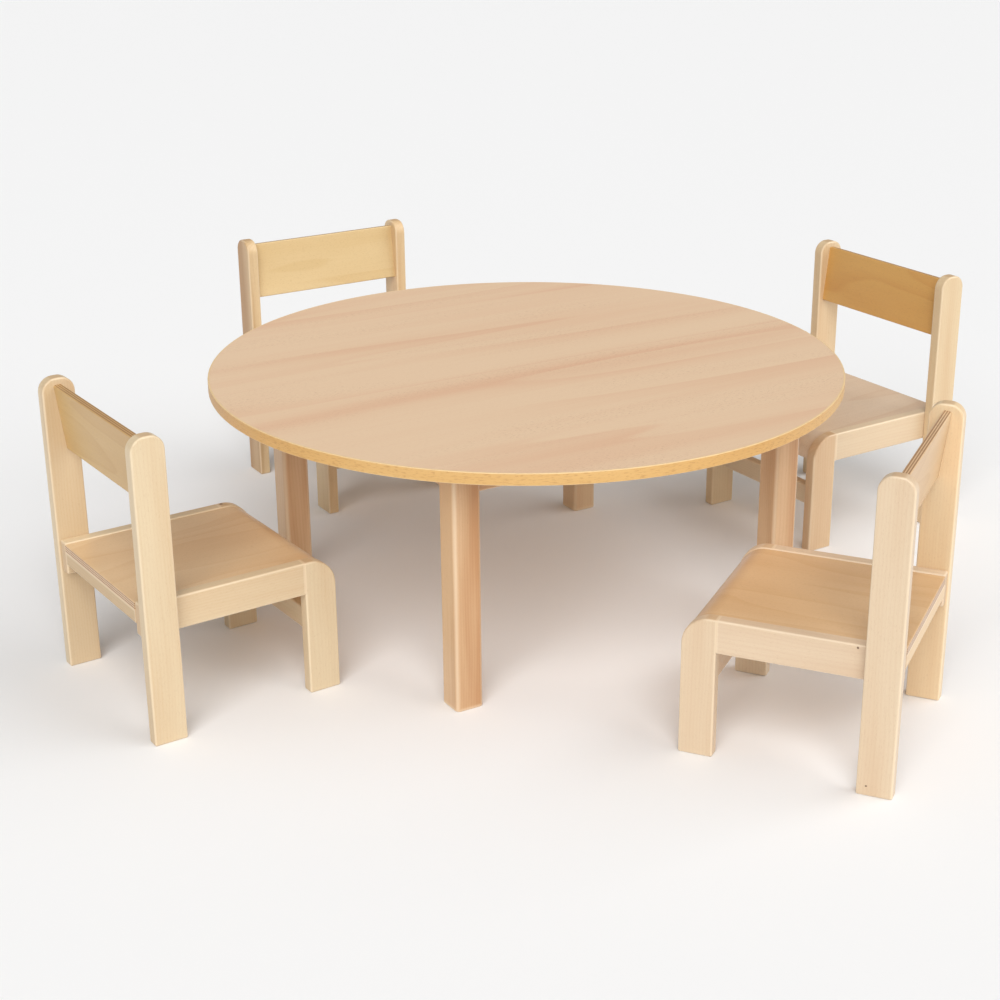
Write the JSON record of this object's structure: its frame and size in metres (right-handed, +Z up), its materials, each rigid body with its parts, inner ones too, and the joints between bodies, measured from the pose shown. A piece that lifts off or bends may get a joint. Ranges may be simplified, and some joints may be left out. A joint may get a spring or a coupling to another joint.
{
  "type": "children's table and chairs",
  "caption": "Low round nursery table on square legs, with matching stacking chairs of flat beech boards with moulded plywood seats and flat plywood backrests",
  "frame": {"origin": "on the floor, below the middle of the set's bounding box; the table's middle is at x -39.4 mm, y +14.9 mm", "axes": "+Z up; +X and +Y along the sides of the square that the table's legs stand on, +X towards the right chair and +Y towards the rear chair"},
  "size_m": [1.555, 1.6334, 0.458],
  "materials": {
    "tabletop_laminate": "satin beech laminate",
    "edge_band": "satin beech band",
    "table_beech": "satin lacquered solid beech",
    "chair_beech": "satin lacquered solid beech",
    "seat_ply": "satin lacquered moulded beech plywood",
    "backrest_ply": "satin lacquered beech plywood",
    "dowel_beech": "bare beech",
    "steel": "zinc plated"
  },
  "bodies": {
    "table": {"table_top": "tabletop_laminate", "table_edge_band": "edge_band", "table_leg_front_left": "table_beech", "table_leg_front_right": "table_beech", "table_leg_rear_right": "table_beech", "table_leg_rear_left": "table_beech", "table_apron_front": "table_beech", "table_apron_right": "table_beech", "table_apron_rear": "table_beech", "table_apron_left": "table_beech", "table_corner_blocks": "table_beech", "table_leg_bolts": "steel", "table_top_screws": "steel", "table_dowels": "dowel_beech"},
    "left_chair": {"left_chair_rear_post_right": "chair_beech", "left_chair_rear_post_left": "chair_beech", "left_chair_side_rail_right": "chair_beech", "left_chair_side_rail_left": "chair_beech", "left_chair_front_leg_right": "chair_beech", "left_chair_front_leg_left": "chair_beech", "left_chair_seat": "seat_ply", "left_chair_backrest": "backrest_ply", "left_chair_rear_rail": "chair_beech", "left_chair_front_stretcher": "chair_beech", "left_chair_dowels": "dowel_beech"},
    "front_chair": {"front_chair_rear_post_right": "chair_beech", "front_chair_rear_post_left": "chair_beech", "front_chair_side_rail_right": "chair_beech", "front_chair_side_rail_left": "chair_beech", "front_chair_front_leg_right": "chair_beech", "front_chair_front_leg_left": "chair_beech", "front_chair_seat": "seat_ply", "front_chair_backrest": "backrest_ply", "front_chair_rear_rail": "chair_beech", "front_chair_front_stretcher": "chair_beech", "front_chair_dowels": "dowel_beech"},
    "right_chair": {"right_chair_rear_post_right": "chair_beech", "right_chair_rear_post_left": "chair_beech", "right_chair_side_rail_right": "chair_beech", "right_chair_side_rail_left": "chair_beech", "right_chair_front_leg_right": "chair_beech", "right_chair_front_leg_left": "chair_beech", "right_chair_seat": "seat_ply", "right_chair_backrest": "backrest_ply", "right_chair_rear_rail": "chair_beech", "right_chair_front_stretcher": "chair_beech", "right_chair_dowels": "dowel_beech"},
    "rear_chair": {"rear_chair_rear_post_right": "chair_beech", "rear_chair_rear_post_left": "chair_beech", "rear_chair_side_rail_right": "chair_beech", "rear_chair_side_rail_left": "chair_beech", "rear_chair_front_leg_right": "chair_beech", "rear_chair_front_leg_left": "chair_beech", "rear_chair_seat": "seat_ply", "rear_chair_backrest": "backrest_ply", "rear_chair_rear_rail": "chair_beech", "rear_chair_front_stretcher": "chair_beech", "rear_chair_dowels": "dowel_beech"}
  },
  "joints": [
    {"name": "left_chair_slide", "type": "slide", "parent": "table", "child": "left_chair", "axis": [0.9984, 0.0558, 0], "range_m": [-0.3, 0.185]},
    {"name": "front_chair_slide", "type": "slide", "parent": "table", "child": "front_chair", "axis": [-0.5807, 0.8141, 0], "range_m": [-0.3, 0.165]},
    {"name": "right_chair_slide", "type": "slide", "parent": "table", "child": "right_chair", "axis": [-0.9993, -0.0366, 0], "range_m": [-0.3, 0.265]},
    {"name": "rear_chair_slide", "type": "slide", "parent": "table", "child": "rear_chair", "axis": [0.0052, -1, 0], "range_m": [-0.3, 0.255]}
  ]
}
